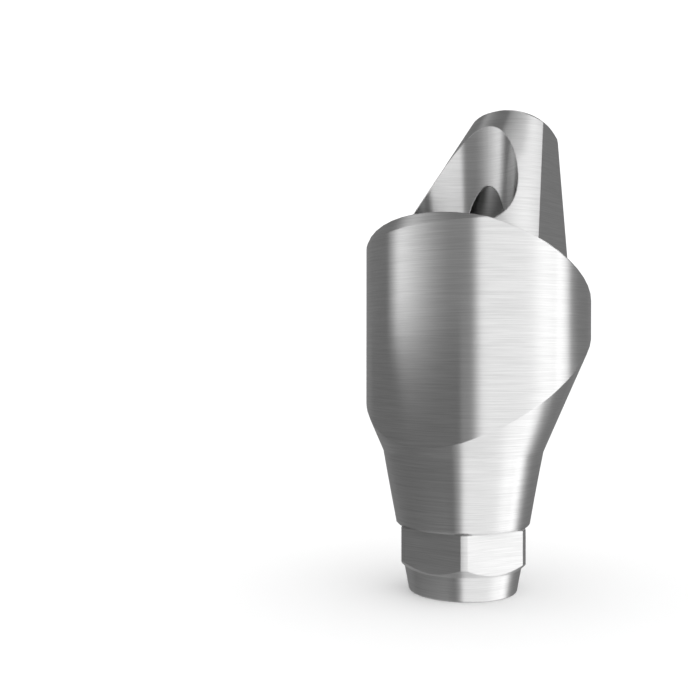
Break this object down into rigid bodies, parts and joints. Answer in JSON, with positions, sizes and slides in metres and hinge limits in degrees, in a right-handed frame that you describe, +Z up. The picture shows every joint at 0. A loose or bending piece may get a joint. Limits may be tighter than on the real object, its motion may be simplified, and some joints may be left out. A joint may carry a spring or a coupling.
{
  "type": "angled dental abutment",
  "caption": "One-piece angled abutment: pilot ring, hexagon and sealing cone below, flared collar with an inclined shoulder, and a tilted tapered crown post with an open screw channel.",
  "frame": {"origin": "on the implant axis, at the flat lower end that goes deepest into the implant", "axes": "+Z up the implant axis and the screw's way out, +X the way the crown post leans, square to one face of the hexagon"},
  "size_m": [0.005, 0.0048, 0.0103],
  "materials": {
    "milled_titanium": "fine turned and milled titanium, bare metal with a soft circumferential grain"
  },
  "bodies": {
    "root": {"abutment_body": "milled_titanium"}
  },
  "joints": []
}
